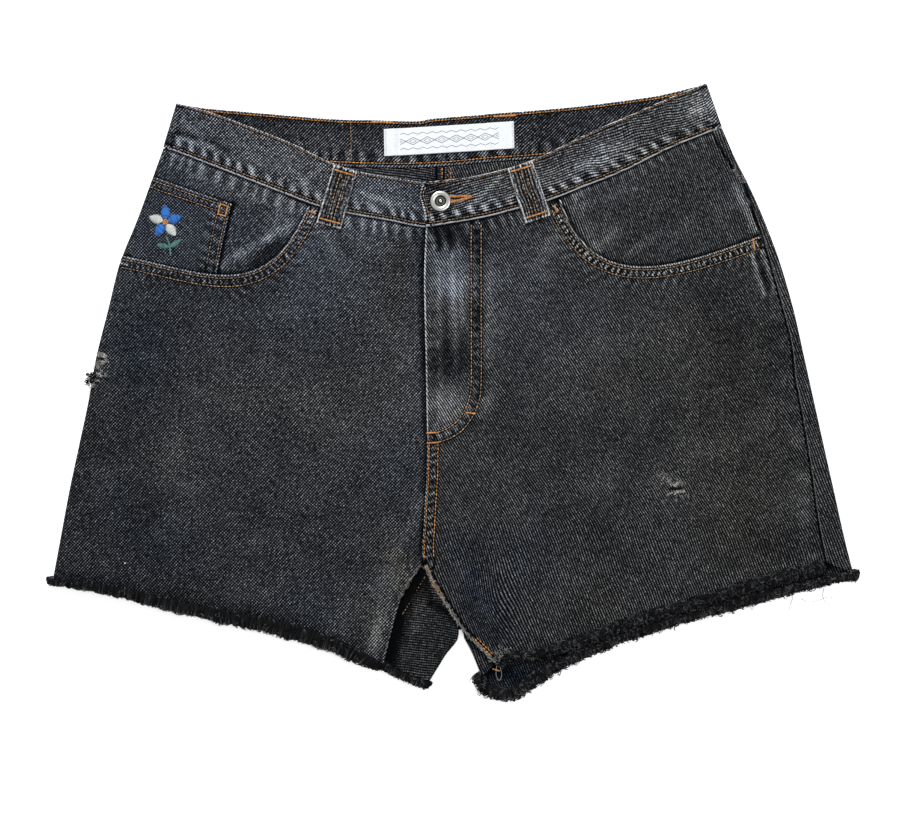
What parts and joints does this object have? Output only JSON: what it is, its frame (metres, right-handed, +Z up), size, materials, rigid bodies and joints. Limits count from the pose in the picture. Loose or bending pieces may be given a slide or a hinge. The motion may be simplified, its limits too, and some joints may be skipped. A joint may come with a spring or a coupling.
{
  "type": "denim shorts",
  "caption": "Cut-off five-pocket denim shorts in washed black, laid flat front up, with a button waist, belt loops, curved front pockets and frayed hems.",
  "frame": {"origin": "on the surface that the shorts lie on, below the middle of their outline", "axes": "+X to the wearer's left, the longest way across; +Y from the hems to the waist; +Z up from the surface, out of the front of the shorts"},
  "size_m": [0.6655, 0.5106, 0.0106],
  "materials": {
    "denim_front": "washed black twill, matt",
    "denim_back": "washed black twill, matt",
    "denim_band": "washed black twill with worn edges, matt",
    "denim_facing": "washed black twill, matt",
    "frayed_yarn": "frayed black cotton yarn, matt",
    "button_metal": "worn nickel, satin",
    "woven_tape": "white woven tape, matt"
  },
  "bodies": {
    "root": {"back_left": "denim_back", "back_pocket_left": "denim_back", "back_pocket_right": "denim_back", "back_right": "denim_back", "belt_loop_back_left": "denim_band", "belt_loop_back_right": "denim_band", "belt_loop_front_left": "denim_band", "belt_loop_front_right": "denim_band", "belt_loop_side_left": "denim_band", "belt_loop_side_right": "denim_band", "button": "button_metal", "coin_pocket": "denim_back", "front_left": "denim_front", "front_right": "denim_front", "hem_fringe_back_left_inner": "frayed_yarn", "hem_fringe_back_left_outer": "frayed_yarn", "hem_fringe_back_right_inner": "frayed_yarn", "hem_fringe_back_right_outer": "frayed_yarn", "hem_fringe_front_left": "frayed_yarn", "hem_fringe_front_right_inner": "frayed_yarn", "hem_fringe_front_right_outer": "frayed_yarn", "label": "woven_tape", "pocket_facing_left": "denim_facing", "pocket_facing_right": "denim_facing", "waistband_back": "denim_band", "waistband_left": "denim_band", "waistband_right": "denim_band", "yoke_left": "denim_back", "yoke_right": "denim_back"}
  },
  "joints": []
}
